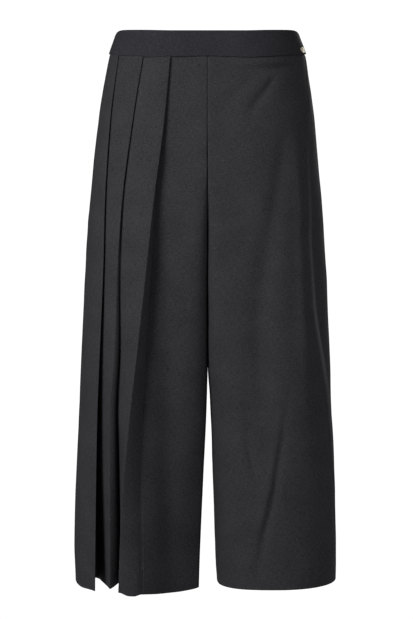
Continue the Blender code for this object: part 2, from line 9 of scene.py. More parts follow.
import bmesh
import bpy
import numpy as np
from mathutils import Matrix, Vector


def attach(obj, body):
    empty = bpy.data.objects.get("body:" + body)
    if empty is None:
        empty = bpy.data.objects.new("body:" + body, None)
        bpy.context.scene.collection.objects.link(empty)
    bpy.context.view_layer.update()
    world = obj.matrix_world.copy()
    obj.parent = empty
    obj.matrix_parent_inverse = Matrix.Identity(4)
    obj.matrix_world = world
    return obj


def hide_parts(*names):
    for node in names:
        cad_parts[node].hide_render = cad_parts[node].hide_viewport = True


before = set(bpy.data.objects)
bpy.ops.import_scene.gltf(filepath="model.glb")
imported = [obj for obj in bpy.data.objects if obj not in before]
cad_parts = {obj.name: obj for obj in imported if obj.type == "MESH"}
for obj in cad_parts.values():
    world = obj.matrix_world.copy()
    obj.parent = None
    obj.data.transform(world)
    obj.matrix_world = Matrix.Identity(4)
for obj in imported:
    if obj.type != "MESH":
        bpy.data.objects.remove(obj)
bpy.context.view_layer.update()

# ------------------------------
# The pleated right front. One cut of charcoal wool-blend suiting with three knife pleats, pressed
# towards the side and caught in the waist seam; below the hip they are free to open. Its long edges
# are seamed to the other panels, and its lower edge is turned up inside into a hem.

MM = 0.001
BAND_HEIGHT = 35
BAND_FOOT = -BAND_HEIGHT / 2
WAIST_SEAM = BAND_FOOT - 0.4
FORK = {"front": -170, "back": -185}  # where the centre seams start to curve under
CROTCH = -272
HEM = -782

# The plan of the filled-out body: how far its sides, fronts and backs reach at each height, where
# a leg is fullest, how square its corners are and how deep its inner corner is. The pleated front's
# inner corner has its own table, as below it runs back in one flat panel.
BODY = (
    (
        "height", "right", "left", "front_right", "front_left", "centre", "back",
        "fullest", "outer", "inner", "corner",
    ),
    (17.5, 131, 130, 95, 95, 95, 98, 30, 2.3, 4, 34),
    (-17.5, 140.5, 140, 100, 100, 100, 100, 30, 2.3, 4, 34),
    (-50, 147, 145.4, 104, 104, 104, 106, 34, 2.3, 4, 34),
    (-84, 153.5, 150.7, 107.5, 107.5, 107.5, 112.5, 40, 2.3, 4, 34),
    (-119, 158, 154.7, 110.5, 110, 110, 118, 46, 2.3, 4, 34),
    (-153, 162.2, 157.6, 113, 112, 111.5, 122, 52, 2.3, 4, 34),
    (-223, 169, 164.1, 115, 112.5, 111.5, 124, 64, 2.3, 6, 26),
    (-272, 173.7, 167.8, 114.5, 110, 110, 120, 71, 2.3, 6, 32),
    (-345, 177.8, 172.3, 113, 106, 106, 110, 80, 2.3, 5.4, 46),
    (-450, 183.2, 177.1, 112, 103, 103, 103, 87, 2.3, 4.4, 76),
    (-539, 187, 180, 113, 101, 101, 100, 91, 2.3, 3.2, 108),
    (-661, 192.8, 185.3, 115.5, 100, 100, 99, 95, 2.22, 3, 125),
    (-732, 194.4, 187.2, 117, 100, 100, 98.5, 97, 2.12, 2.9, 132),
    (-782, 192.8, 187.2, 118, 100, 100, 98, 98, 2.08, 2.8, 135),
)
PLEATED_CORNER = (
    ("height", "inner", "corner"),
    (-223, 6, 26), (-272, 4, 28), (-345, 2.2, 32), (-450, 1.6, 42),
    (-539, 1.3, 54), (-661, 1.1, 66), (-732, 1.05, 74), (-782, 1.03, 78),
)

# How far each leg's inner face stands off the garment's middle, below where the legs part.
GAP = (
    ("height", "right", "left"),
    (-470, 0.15, 0.15), (-502, 0.9, 2.6), (-555, 2.8, 5), (-626, 6.4, 7.6),
    (-696, 9.6, 9.8), (-767, 12.4, 12.5), (-782, 12.8, 13.4),
)

# The pleats from the side to the front: where each folded edge is across the body, how far it
# stands off the body's plan, how deep the cloth under it is, how far that has swung open, and how
# round the hollow at its bottom is.
PLEAT_COLUMNS = ("height", "across", "rise", "depth", "opening", "hollow")
PLEATS = {
    "side": (
        (-17.5, 127.1, 1, 14, 3, 0.4),
        (-111, 138.8, 2.5, 14, 10, 0.4),
        (-223, 146, 3.5, 15, 15, 0.4),
        (-317, 148.5, 4, 13, 22, 0.4),
        (-433, 153.5, 5, 13, 42, 1),
        (-539, 157.8, 4, 19, 66, 2),
        (-663, 160.1, 2, 33, 82, 4),
        (-782, 161.8, 0, 58, 87, 5.5),
    ),
    "middle": (
        (-17.5, 91.6, 1, 14, 6, 0.4),
        (-111, 106.4, 2, 10, 14, 0.4),
        (-223, 121.1, 2.5, 5, 50, 0.4),
        (-317, 127.5, 2.5, 6, 100, 0.4),
        (-433, 131.8, 1.5, 13, 112, 0.4),
        (-539, 139, -3, 19, 122, 0.5),
        (-663, 139.4, -8, 31, 116, 0.5),
        (-782, 139.6, -12, 51, 105, 0.5),
    ),
    "front": (
        (-17.5, 52.6, 1, 14, 6, 0.4),
        (-111, 61.5, 3, 10, 30, 0.4),
        (-223, 76.1, 8, 13, 95, 0.4),
        (-317, 86.3, 12, 24, 104, 0.4),
        (-433, 99.2, 15, 31, 111, 0.5),
        (-539, 111.2, 14, 33, 123, 0.7),
        (-663, 121.7, 10, 34, 141, 0.7),
        (-782, 126.4, 7, 33, 161, 0.7),
    ),
}

# How much a pleat's layers stand straight ahead of the body's plan rather than square to it.
LEAN = (
    ("height", "lean"),
    (-17.5, 0), (-223, 0.2), (-317, 0.35), (-433, 0.6), (-539, 0.8), (-663, 1),
    (-782, 1),
)


def smooth_column(table, name, height):
    """Read one column of a table at any height, along a curve that never overshoots its rows."""
    index = table[0].index(name)
    ordered = sorted(table[1:])
    heights = np.array([row[0] for row in ordered], dtype=float)
    values = np.array([row[index] for row in ordered], dtype=float)
    height = min(max(height, heights[0]), heights[-1])
    steps = np.diff(heights)
    slopes = np.diff(values) / steps
    ends = np.concatenate(([slopes[0]], np.zeros(len(slopes) - 1), [slopes[-1]]))
    for k in range(1, len(slopes)):
        if slopes[k - 1] * slopes[k] > 0:
            ends[k] = 2 * slopes[k - 1] * slopes[k] / (slopes[k - 1] + slopes[k])
    k = min(int(np.searchsorted(heights, height, side="right")) - 1, len(steps) - 1)
    t = (height - heights[k]) / steps[k]
    return (
        values[k] * (1 + 2 * t) * (1 - t) ** 2
        + values[k + 1] * t * t * (3 - 2 * t)
        + steps[k] * t * (1 - t) * (ends[k] * (1 - t) - ends[k + 1] * t)
    )


def body(name, height):
    return smooth_column(BODY, name, height)


def ease(t):
    t = np.clip(t, 0.0, 1.0)
    return t * t * (3 - 2 * t)


def hump(away, width):
    """A soft round rise to 1 that falls off over its width."""
    return np.exp(-((away / width) ** 2))


class PlanLine:
    """A plan line of the cloth's middle at one height, measured along its length."""

    POINTS = 320

    def __init__(self, points):
        along = np.concatenate(([0.0], np.cumsum(np.hypot(*np.diff(points, axis=0).T))))
        self.length = along[-1]
        self.along = np.linspace(0.0, self.length, self.POINTS)
        self.x = np.interp(self.along, along, points[:, 0])
        self.y = np.interp(self.along, along, points[:, 1])
        self.out_x = np.gradient(self.y, self.along)
        self.out_y = -np.gradient(self.x, self.along)
        faces_out = np.dot(self.out_x, self.x - self.x.mean())
        faces_out += np.dot(self.out_y, self.y - self.y.mean())
        if faces_out < 0:
            self.out_x = -self.out_x
            self.out_y = -self.out_y

    def at(self, s, rise=0.0, lean=0.0):
        """The point at s that stands rise off the line, outwards or turned by lean straight ahead."""
        x = np.interp(s, self.along, self.out_x) * (1 - lean)
        y = np.interp(s, self.along, self.out_y) * (1 - lean) - lean
        size = np.hypot(x, y)
        return (
            np.interp(s, self.along, self.x) + rise * x / size,
            np.interp(s, self.along, self.y) + rise * y / size,
        )

    def find_across(self, across, rise=0.0, lean=0.0):
        """The length at which a point that stands rise off the line is across from the middle."""
        reach = np.abs(self.at(self.along, rise, lean)[0])
        fullest = int(np.argmax(reach))
        return float(np.interp(-across, -reach[fullest:], self.along[fullest:]))


INNER_GAP = 0.15  # the least that inner faces and inseams stand off the garment's middle lines
LEG_TOUCH = 0.1  # how much further off inner faces lie
LEG_TOUCH_EASE = 1.2
CORNER_STEPS = 90


def inner_corner(leg, face, height):
    """How square a leg's inner corner is at this height, and how far back it goes."""
    pleated = leg == "right" and face == "front" and height < PLEATED_CORNER[1][0]
    table = PLEATED_CORNER if pleated else BODY
    return [smooth_column(table, name, height) for name in ("inner", "corner")]


def centre_curve(face, height):
    """How far down its curve the centre seam is, how full the body is there, and the seam's reach."""
    fork = FORK[face]
    fall = min(max((fork - height) / (fork - CROTCH), 0.0), 1.0)
    full = body("centre" if face == "front" else "back", height)
    return fall, full, max(full * math.sqrt(1 - fall**2), INNER_GAP)


def half_line(leg, face, height):
    """The plan points of one face of a leg, from its outer side to its centre seam or inseam."""
    side = body(leg, height)
    fullest = body("fullest", height)
    reach = body("back", height) if face == "back" else body("front_" + leg, height)
    _, _, seam = centre_curve(face, height)
    turns = np.radians(np.linspace(0, 90, CORNER_STEPS))
    power = body("outer", height)
    outer = np.column_stack((
        fullest + (side - fullest) * np.cos(turns) ** (2 / power),
        reach * np.sin(turns) ** (2 / power),
    ))
    drop = reach - seam
    power, depth = inner_corner(leg, face, height)
    corner = drop / (1 + (drop / depth) ** 4) ** 0.25
    inner_x = max(smooth_column(GAP, leg, height), INNER_GAP)
    inner_x += drop / math.hypot(drop, LEG_TOUCH_EASE) * LEG_TOUCH
    inner = np.column_stack((
        fullest + (inner_x - fullest) * np.sin(turns) ** (2 / power),
        reach - corner + corner * np.cos(turns) ** (2 / power),
    ))
    if corner < drop - 0.01:  # the corner ends before the seam, so the face runs straight on to it
        inner = np.vstack((inner, ((inner_x, seam),)))
    points = np.vstack((outer, inner[1:]))
    return points * (-1 if leg == "right" else 1, -1 if face == "front" else 1)


def leg_line(leg, height):
    """The whole plan line of a leg, from its back seam round the side to its front seam."""
    back = half_line(leg, "back", height)
    front = half_line(leg, "front", height)
    return PlanLine(np.vstack((back[::-1], front[1:])))


RIGHT_SEAM_INSET = 0.3  # how far in from the right leg's very side its side seam lies


def right_side_seam(line, height):
    return line.find_across(body("right", height) - RIGHT_SEAM_INSET)


HEM_DEPTH = 26  # how far above the edge the hem's blind stitches catch the cloth
LEG_ROWS = 129
CURVE_ROWS = 42
TOP_STEP = 4
WAIST_SEAM_ROWS = WAIST_SEAM - np.array((2.4, 1.2, 0.5))
HEM_EDGE_ROWS = HEM + np.array((0.6, 1.4))
STITCHED_ROWS = HEM + HEM_DEPTH + np.array((-1.6, -0.8, 0.0, 0.8, 1.6))


def row_heights(face):
    """The heights of a panel's rows, from the hem up: close together where the legs part."""
    fork = FORK[face]
    leg = np.linspace(HEM, CROTCH, LEG_ROWS)
    curve = fork + (CROTCH - fork) * np.cos(np.linspace(0, math.pi / 2, CURVE_ROWS))
    top = np.linspace(fork, WAIST_SEAM, int((WAIST_SEAM - fork) / TOP_STEP))
    rows = np.concatenate((leg, curve, top, WAIST_SEAM_ROWS, HEM_EDGE_ROWS, STITCHED_ROWS))
    return np.unique(np.round(rows, 3))


WAIST_DIP = 2.6  # how far the waist seam hangs below its sides in front
CENTRE_HELD = 0.35  # the share of it that the centre front is held up, and over what half width
CENTRE_HALF = 25
# Where the front's waist seam was sewn a little low or high: across, how far down, how wide.
SEAM_WAVES = ((-84, 1.4, 15), (62, 1.0, 22), (114, -0.8, 12))


def waves(x, rows):
    """Add up soft waves along an edge, from rows of across, how far down and how wide."""
    return sum(down * hump(x - across, width) for across, down, width in rows)


def waist_dip(x, y):
    """How far the waist seam hangs below its sides: more to both sides of the centre front."""
    ahead = np.maximum(-y, 0.0) / 100
    dip = WAIST_DIP * ahead * ahead * (1 - CENTRE_HELD * hump(x, CENTRE_HALF))
    return dip + waves(x, SEAM_WAVES) * np.minimum(ahead * 3, 1)


EDGE_EASE = 60  # over what height a row eases into the waist seam's line or the hem's
RECESS_DIP = 0.27  # how much lower a pleat's inner layers hang, for each millimetre they lie back


def hung(x, y, height, recess=0.0, hem_drop=0.0):
    """The places of a row's points, eased to the waistband's edge above and to the hem below."""
    near_waist = 1 - ease((WAIST_SEAM - height) / EDGE_EASE)
    near_hem = 1 - ease((height - HEM) / EDGE_EASE)
    drop = (waist_dip(x, y) + recess * RECESS_DIP) * near_waist + hem_drop * near_hem
    return np.column_stack((x, y, height - drop)) * MM


ROLL = 0.7  # how far the cloth rolls in at a seam, and over what width
ROLL_WIDTH = 1.3
ROLL_FADE = 12.0  # the height over which the centre seam's roll fades out above the fork


def seam_roll(s, start, end, above_fork=ROLL_FADE, side=ROLL):
    """How far the cloth rolls in beside its two seams. Below the fork the legs' faces just meet."""
    centre = ROLL * ease(above_fork / ROLL_FADE)
    return side * hump(s - start, ROLL_WIDTH) + centre * hump(s - end, ROLL_WIDTH)


WAVE_COUNT = 9
WAVE_LENGTHS = (28, 130)
WAVE_HEIGHT = 0.09  # of a wave of the length below; longer ones stand higher
WAVE_LENGTH = 80


def unevenness(along, height, seed):
    """The cloth's slight unevenness: a few long low waves at odd angles."""
    draw = np.random.default_rng(seed)
    total = 0.0
    for _ in range(WAVE_COUNT):
        length = draw.uniform(*WAVE_LENGTHS)
        angle = draw.uniform(0, math.pi)
        phase = draw.uniform(0, math.tau)
        across = along * math.cos(angle) + height * math.sin(angle)
        high = WAVE_HEIGHT * (length / WAVE_LENGTH)
        total = total + high * np.sin(across * math.tau / length + phase)
    return total


SEAM_EDGE = 0.1  # from the end of a panel's plan line to the middle of the cloth that turns in there
NEAR_SEAM = np.array((0.0, 0.6, 1.2, 2.0, 3.2))  # where a row's points lie beside a seam
SEAM_STEP = 5  # how far from a seam a row's even steps start
ALLOWANCE = (0.7, 2.0, 4.0)  # how far in the points of a seam's turned-in edge lie


def turned_in(points, start, end):
    """Add the edges that turn in at both seams, straight into the garment."""
    first = [points[0] + start * reach for reach in reversed(ALLOWANCE)]
    last = [points[-1] + end * reach for reach in ALLOWANCE]
    return np.vstack((first, points, last))


def inward(line, s):
    """The direction into the garment at a length along its plan line, a millimetre long."""
    near = np.array(line.at(s))
    far = np.array(line.at(s, -1.0))
    return np.array((*(far - near), 0.0)) * MM


def belt(stops, arc_steps, run_steps, bows):
    """Lay cloth round a row of folds in one cross-section and give its points.

    Each stop is (s, rise, radius) of the round that the cloth turns about: a radius above nothing
    turns it left, as a hollow does, and one below it turns it right, as a folded edge does. Between
    two stops the cloth bellies out by its bow's share of the way.
    """
    headings = [0.0]
    bends = [0.0] + [math.atan(math.pi * bow) for bow in bows] + [0.0]
    for (s0, r0, turn0), (s1, r1, turn1) in zip(stops, stops[1:]):
        span = math.hypot(s1 - s0, r1 - r0)
        headings.append(math.atan2(r1 - r0, s1 - s0) - math.asin((turn1 - turn0) / span))
    headings.append(0.0)
    points = []
    for k, (s, rise, turn) in enumerate(stops):
        comes = headings[k] - bends[k]
        leaves = headings[k + 1] + bends[k + 1]
        for step in range(arc_steps + 1):
            heading = comes + (leaves - comes) * step / arc_steps
            points.append((s + turn * math.sin(heading), rise - turn * math.cos(heading)))
        if k + 1 < len(stops):
            heading = headings[k + 1] - bends[k + 1]
            next_s, next_rise, next_turn = stops[k + 1]
            near = np.array(points[-1])
            far = np.array((
                next_s + next_turn * math.sin(heading),
                next_rise - next_turn * math.cos(heading),
            ))
            belly = bows[k] * np.array((near[1] - far[1], far[0] - near[0]))
            for step in range(1, run_steps[k]):
                t = step / run_steps[k]
                points.append(tuple(near + (far - near) * t + belly * math.sin(math.pi * t)))
    return np.array(points)


LAYER = 0.8  # from the middle of one pressed layer to the next


def pleat_stops(line, height, lean):
    """The rounds that the three pleats turn about: a folded edge and then a hollow for each."""
    stops = []
    edge = LAYER / 2
    for rows in PLEATS.values():
        across, rise, depth, opening, hollow = (
            smooth_column((PLEAT_COLUMNS, *rows), name, height) for name in PLEAT_COLUMNS[1:]
        )
        opening = math.radians(opening)
        s = line.find_across(across, rise, lean) - edge
        stops.append((s, rise - edge, -edge))
        layer = edge + hollow
        stops.append((
            s - depth * math.cos(opening) + layer * math.sin(opening),
            rise - edge - depth * math.sin(opening) - layer * math.cos(opening),
            hollow,
        ))
    return stops


FOLD_COLUMNS = ("height", "across", "width", "depth")
ROUTE_STEPS = 80
FOLDS_FROM = 20  # how far ahead of the body's middle line soft folds are laid, or behind it


def fold_routes(folds):
    """Draw each fold's route finely: rows of height, across, width and depth along it."""
    routes = []
    for rows in folds.values():
        places = np.array(rows, dtype=float)[:, :2]
        marks = np.concatenate(([0.0], np.cumsum(np.linalg.norm(np.diff(places, axis=0), axis=1))))
        table = [("along", *FOLD_COLUMNS)] + [(mark, *row) for mark, row in zip(marks, rows)]
        route = [
            [smooth_column(table, name, mark) for name in FOLD_COLUMNS]
            for mark in np.linspace(0, marks[-1], ROUTE_STEPS)
        ]
        routes.append(np.array(route))
    return routes


def fold_push(routes, across, height):
    """How far soft folds push the cloth in along one row: above nothing a hollow, below it a ridge."""
    push = np.zeros_like(across)
    for route in routes:
        away = np.hypot(across[:, None] - route[None, :, 1], height - route[None, :, 0])
        width, depth = route[np.argmin(away, axis=1), 2:].T
        push += depth * hump(away.min(axis=1), width)
    return push


RIGHT_ROUTES = fold_routes({
    "pressed_edge": (
        (-620, 93, 1.8, 0), (-680, 92.4, 1.8, -0.4), (-720, 92.3, 1.8, -0.4),
        (-790, 92.3, 1.8, -0.4),
    ),
    "pressed_line": (
        (-500, 97, 2.6, 0), (-545, 96, 2.6, 3.8), (-640, 95.4, 2.2, 4.4),
        (-790, 95.1, 1.8, 4.4),
    ),
    "shin_hollow": ((-410, 58, 15, 0), (-470, 58, 16, 4.5), (-560, 57, 17, 6), (-790, 57, 17, 6.5)),
    "inner_hollow": ((-430, 36, 24, 0), (-560, 34, 26, 5), (-680, 34, 26, 6), (-790, 34, 26, 6)),
    "knee_line": ((-492, 20, 3, 0), (-493, 45, 4, 0.5), (-492, 75, 4, 0)),
    "front_hollow": ((-180, 28, 14, 0), (-300, 34, 16, 1), (-460, 40, 18, 1.2), (-620, 48, 18, 0)),
})


INNER_SHARE = 0.9  # of the inner face's depth, what a row's closer steps cover
LEAST_INNER = 0.5


def spread_steps(start, end, height, face, steps, inner_steps):
    """Lengths along a row: as the centre seam curves in, some steps move to the leg's inner face."""
    fall, full, seam = centre_curve(face, height)
    inner = INNER_SHARE * (full - seam)
    outer_share = 1 - inner_steps / steps * fall**1.5
    turn = outer_share if inner < LEAST_INNER else 1 - inner / abs(end - start)
    even = np.linspace(0, 1, steps + 1)
    return start + (end - start) * np.interp(even, (0, outer_share, 1), (0, turn, 1))


OPEN_FROM = -230  # the height below which the pleats belly open, and over what height
OPEN_OVER = 120
BOWS = np.array((0, 0, 0.16, 0, 0.05))  # of the runs between the pleats' rounds
RUN_STEPS = (5, 12, 8, 12, 8)
ROUND_STEPS = 6
SIDE_STEPS = 12
FRONT_STEPS = 58
FRONT_INNER_STEPS = 24
LANDING = 90  # over what length the front comes down from its pleat to the body's plan
SIDE_HELD = 6  # how far from a pleat the pressing holds the cloth flat, to the side and in front
FRONT_HELD = 8
WAIST_HELD = 12  # how far down the waist seam holds it flat
SEAMED_RISE = 9  # cloth that stands off further than this isn't beside a seam
HEM_DROP = 3.0  # how much lower the pleated hem hangs in front than at its side seam
HEM_DROP_WIDTH = 70
HEM_INNER_DROP = 2.5  # how much lower again it hangs at its inner end
HEM_INNER_WIDTH = 110
HEM_LIFT = 8.0  # how much the hem rises on the layers that lie back, and how far back is enough
HEM_LIFT_DEPTH = 12.0
# Where the pleated hem hangs a little low or high: across, how far down, how wide.
HEM_WAVES = ((-8, -1.6, 8), (-60, 4.2, 36), (-126, -5.0, 8), (-170, -2.0, 12))
CREASE_ACROSS = 94.5  # where the crease pressed beside the front pleat lies over the shin
CREASE_COLUMNS = np.array((-4.5, -3.2, -2.2, -1.4, -0.7, 0.0, 0.7, 1.4, 2.2, 3.2, 4.5))


def pleated_row(height):
    """One row of the pleated front, from its side seam to its centre seam."""
    line = leg_line("right", height)
    lean = smooth_column(LEAN, "lean", height)
    seam = right_side_seam(line, height) + SEAM_EDGE
    end = line.length - SEAM_EDGE
    bows = BOWS * ease((OPEN_FROM - height) / OPEN_OVER)
    folded = belt(pleat_stops(line, height, lean), ROUND_STEPS, RUN_STEPS, bows)
    first_s, first_rise = folded[0]
    last_s, last_rise = folded[-1]
    side = np.linspace(seam + SEAM_STEP, first_s, SIDE_STEPS)[:-1]
    side = np.concatenate((seam + NEAR_SEAM, side))
    side_rise = first_rise * ease((side - seam) / (first_s - seam))
    front = spread_steps(last_s, end - SEAM_STEP, height, "front", FRONT_STEPS, FRONT_INNER_STEPS)
    crease = max(line.find_across(CREASE_ACROSS), last_s + FRONT_HELD)
    front = np.sort(np.concatenate((front[1:], crease + CREASE_COLUMNS)))
    front = np.concatenate((front, end - NEAR_SEAM[::-1]))
    front_rise = last_rise * (1 - ease((front - last_s) / LANDING))
    s = np.concatenate((side, folded[:, 0], front))
    rise = np.concatenate((side_rise, folded[:, 1], front_rise))
    side_loose = ease((first_s - side) / SIDE_HELD)
    front_loose = ease((front - last_s) / FRONT_HELD)
    loose = np.concatenate((side_loose, np.zeros(len(folded)), front_loose))
    loose *= ease((WAIST_SEAM - height) / WAIST_HELD)
    x, y = line.at(s)
    push = fold_push(RIGHT_ROUTES, -x, height) * (y < -FOLDS_FROM)
    push = (push - unevenness(s, height, seed=11)) * loose
    rolled = seam_roll(s, seam, end, height - FORK["front"]) * (np.abs(rise) < SEAMED_RISE)
    x, y = line.at(s, rise - push - rolled, lean)
    recess = np.maximum(-rise, 0.0)
    hem_drop = HEM_DROP * ease((s - seam) / HEM_DROP_WIDTH)
    hem_drop += HEM_INNER_DROP * ease((s - last_s) / HEM_INNER_WIDTH)
    hem_drop -= HEM_LIFT * (1 - np.exp(-recess / HEM_LIFT_DEPTH))
    hem_drop += waves(x, HEM_WAVES)
    points = hung(x, y, height, recess, hem_drop)
    return turned_in(points, inward(line, seam), inward(line, end))


HEM_LIFTS = np.linspace(30.0, 2, 8)  # how far above the edge the inner layer's rows lie
HEM_LAYER = 0.7  # from the middle of the hem's outer layer to the middle of the inner one
HEM_GAP = 0.1  # how far its rounded edge hangs below the panel's last row


def with_hem(rows):
    """Turn the lower edge up inside: rows from the hem's top edge, down, round and up the outside."""
    edge = rows[0]
    across = np.gradient(edge, axis=0)
    out = np.column_stack((across[:, 1], -across[:, 0], np.zeros(len(edge))))
    out /= np.maximum(np.linalg.norm(out, axis=1), 1e-9)[:, None]
    if np.dot(out[len(out) // 2], edge[len(out) // 2] - edge.mean(axis=0)) < 0:
        out = -out
    turned = []
    for lift in HEM_LIFTS:
        level = next(k for k, row in enumerate(rows) if row[0][2] >= edge[0][2] + (lift - 0.01) * MM)
        turned.append(rows[level] - out * HEM_LAYER * MM)
    for angle in (0, 45, 90, 135):
        down = math.sin(math.radians(angle)) * HEM_LAYER / 2 + HEM_GAP
        back = (1 + math.cos(math.radians(angle))) * HEM_LAYER / 2
        turned.append(edge - out * back * MM - np.array((0, 0, down * MM)))
    return turned + rows


CLOTH = 0.6  # the suiting's thickness


def laid_cloth(name, rows, material, grain=0.5, shine=None):
    """A panel of cloth: a grid laid along rows of points, with its UV map in metres of cloth.

    The thread runs straight down at the column that is grain of the way across. The last argument
    says from a point's place how strongly a painted highlight lightens the cloth's colour there.
    """
    places = np.array(rows)
    up, across = places.shape[0] - 1, places.shape[1] - 1
    run = np.linalg.norm(np.diff(places, axis=1), axis=2)
    climb = np.linalg.norm(np.diff(places, axis=0), axis=2)
    u = np.concatenate((np.zeros((up + 1, 1)), np.cumsum(run, axis=1)), axis=1)
    straight = round(across * grain)
    u = u - u[:, straight:straight + 1] + u[:, straight].max()
    v = np.concatenate(([0.0], np.cumsum(climb[:, straight])))
    net = bmesh.new()
    bmesh.ops.create_grid(net, x_segments=across, y_segments=up, size=0.5)
    spots = {}
    for vert in net.verts:
        column = round((vert.co.x + 0.5) * across)
        row = round((vert.co.y + 0.5) * up)
        spots[vert] = (row, column)
        vert.co = places[row, column]
    layer = net.loops.layers.uv.new("cloth")
    for face in net.faces:
        for loop in face.loops:
            row, column = spots[loop.vert]
            loop[layer].uv = (u[row, column], v[row])
    mesh = bpy.data.meshes.new(name)
    net.to_mesh(mesh)
    net.free()
    mesh.materials.append(material)
    mesh.shade_smooth()
    if shine:
        points = np.array([vert.co for vert in mesh.vertices]) / MM
        mesh.attributes.new("shine", "FLOAT", "POINT").data.foreach_set("value", shine(*points.T))
    panel = bpy.data.objects.new(name, mesh)
    bpy.context.scene.collection.objects.link(panel)
    wall = panel.modifiers.new("wall", "SOLIDIFY")
    wall.thickness = CLOTH * MM
    wall.offset = 0.0
    return panel


def effect_group(name, inputs, outputs):
    """A shader node group with named sockets, each (name, kind, starting value)."""
    group = bpy.data.node_groups.new(name, "ShaderNodeTree")
    for label, kind, value in inputs:
        socket = group.interface.new_socket(label, in_out="INPUT", socket_type="NodeSocket" + kind)
        if value is not None:
            socket.default_value = value
    for label, kind in outputs:
        group.interface.new_socket(label, in_out="OUTPUT", socket_type="NodeSocket" + kind)
    return group, group.nodes.new("NodeGroupInput"), group.nodes.new("NodeGroupOutput")


def node(tree, kind, inputs=(), **settings):
    """Add a node, set its options, and set or link its inputs."""
    made = tree.nodes.new("ShaderNode" + kind)
    for key, value in settings.items():
        setattr(made, key, value)
    for label, value in dict(inputs).items():
        if isinstance(value, bpy.types.NodeSocket):
            tree.links.new(value, made.inputs[label])
        else:
            made.inputs[label].default_value = value
    return made


def math_node(tree, operation, *values):
    return node(tree, "Math", dict(enumerate(values)), operation=operation).outputs[0]


def vector_node(tree, operation, inputs):
    return node(tree, "VectorMath", inputs, operation=operation).outputs[0]


def noise_on(tree, vector, scale, detail, **inputs):
    """A noise on a vector, scaled evenly by a number or each way by three."""
    if isinstance(scale, tuple):
        vector = node(tree, "Mapping", {"Vector": vector, "Scale": scale}).outputs[0]
        scale = 1.0
    return node(tree, "TexNoise", {"Vector": vector, "Scale": scale, "Detail": detail, **inputs})


def colour_mix(tree, share, first, second):
    """Mix two colours, each a socket or plain numbers, by a share from 0 to 1."""
    mixed = node(tree, "Mix", {0: share, 6: first, 7: second}, data_type="RGBA", clamp_factor=True)
    return mixed.outputs[2]


THREAD_WANDER = 0.00035  # metres


def weave_group():
    """Plain-weave threads over and under each other: a height and a thread-by-thread shade."""
    tree, given, result = effect_group(
        "suiting_weave",
        (("Cloth", "Vector", None), ("Thread", "Float", 0.0005)),
        (("Height", "Float"), ("Shade", "Float")),
    )
    wobble = noise_on(tree, given.outputs["Cloth"], 260.0, 1.0)
    moved = vector_node(tree, "SUBTRACT", {0: wobble.outputs["Color"], 1: (0.5, 0.5, 0.5)})
    small = vector_node(tree, "SCALE", {0: moved, "Scale": THREAD_WANDER})
    placed = vector_node(tree, "ADD", {0: given.outputs["Cloth"], 1: small})
    turns = math_node(tree, "DIVIDE", math.pi, given.outputs["Thread"])
    counted = vector_node(tree, "SCALE", {0: placed, "Scale": turns})
    axes = node(tree, "SeparateXYZ", {0: counted})
    warp = math_node(tree, "SINE", axes.outputs[0])
    weft = math_node(tree, "SINE", axes.outputs[1])
    over = math_node(tree, "MULTIPLY", warp, weft)
    tree.links.new(math_node(tree, "MULTIPLY_ADD", over, 0.5, 0.5), result.inputs["Height"])
    warp_tones = noise_on(tree, given.outputs["Cloth"], (1400.0, 130.0, 1.0), 1.0)
    weft_tones = noise_on(tree, given.outputs["Cloth"], (170.0, 950.0, 1.0), 1.0)
    both = math_node(tree, "ADD", warp_tones.outputs[0], weft_tones.outputs[0])
    tree.links.new(math_node(tree, "MULTIPLY", both, 0.5), result.inputs["Shade"])
    return tree


LINT_SIZE = 0.16  # as a share of a fleck's cell, and the random draw above which the cell has one
LINT_DRAW = 0.93


def melange_group():
    """The blend's mottle: darker and paler fibres a millimetre or two across, and stray pale lint."""
    tree, given, result = effect_group(
        "suiting_melange",
        (("Cloth", "Vector", None), ("Grain", "Float", 560.0)),
        (("Mottle", "Float"), ("Cloud", "Float"), ("Lint", "Float")),
    )
    cloth = given.outputs["Cloth"]
    fine = noise_on(tree, cloth, given.outputs["Grain"], 3.0, Roughness=0.6)
    tree.links.new(fine.outputs[0], result.inputs["Mottle"])
    cloud = noise_on(tree, cloth, 22.0, 2.0)
    tree.links.new(cloud.outputs[0], result.inputs["Cloud"])
    slanted = {"Vector": cloth, "Rotation": (0.0, 0.0, 0.6), "Scale": (330.0, 700.0, 1.0)}
    turned = node(tree, "Mapping", slanted)
    fleck = node(tree, "TexVoronoi", {"Vector": turned.outputs[0], "Scale": 1.0})
    near = math_node(tree, "LESS_THAN", fleck.outputs["Distance"], LINT_SIZE)
    chosen = node(tree, "SeparateColor", {0: fleck.outputs["Color"]})
    rare = math_node(tree, "GREATER_THAN", chosen.outputs[0], LINT_DRAW)
    tree.links.new(math_node(tree, "MULTIPLY", near, rare), result.inputs["Lint"])
    return tree


weave = weave_group()
melange = melange_group()
DARK_SUITING = (0.0072, 0.0070, 0.0078, 1.0)
PALE_SUITING = (0.0310, 0.0305, 0.0337, 1.0)
# The pale tone that the suiting's colour mixes towards for the painted highlights on the crease and
# side seam.
PAINTED_HIGHLIGHT_TONE = (0.070, 0.069, 0.075, 1.0)
LINT_TONE = (0.10, 0.10, 0.105, 1.0)
LINT_SHARE = 0.35
SHADE_START = -1.2  # the shares below lift the shade from here to between dark 0 and pale 1
MOTTLE_SHARE = 1.6
THREAD_SHARE = 1.5
CLOUD_SHARE = 0.35
MOTTLE_LIFT = 1.2  # how high the mottle stands up, as a share of the threads


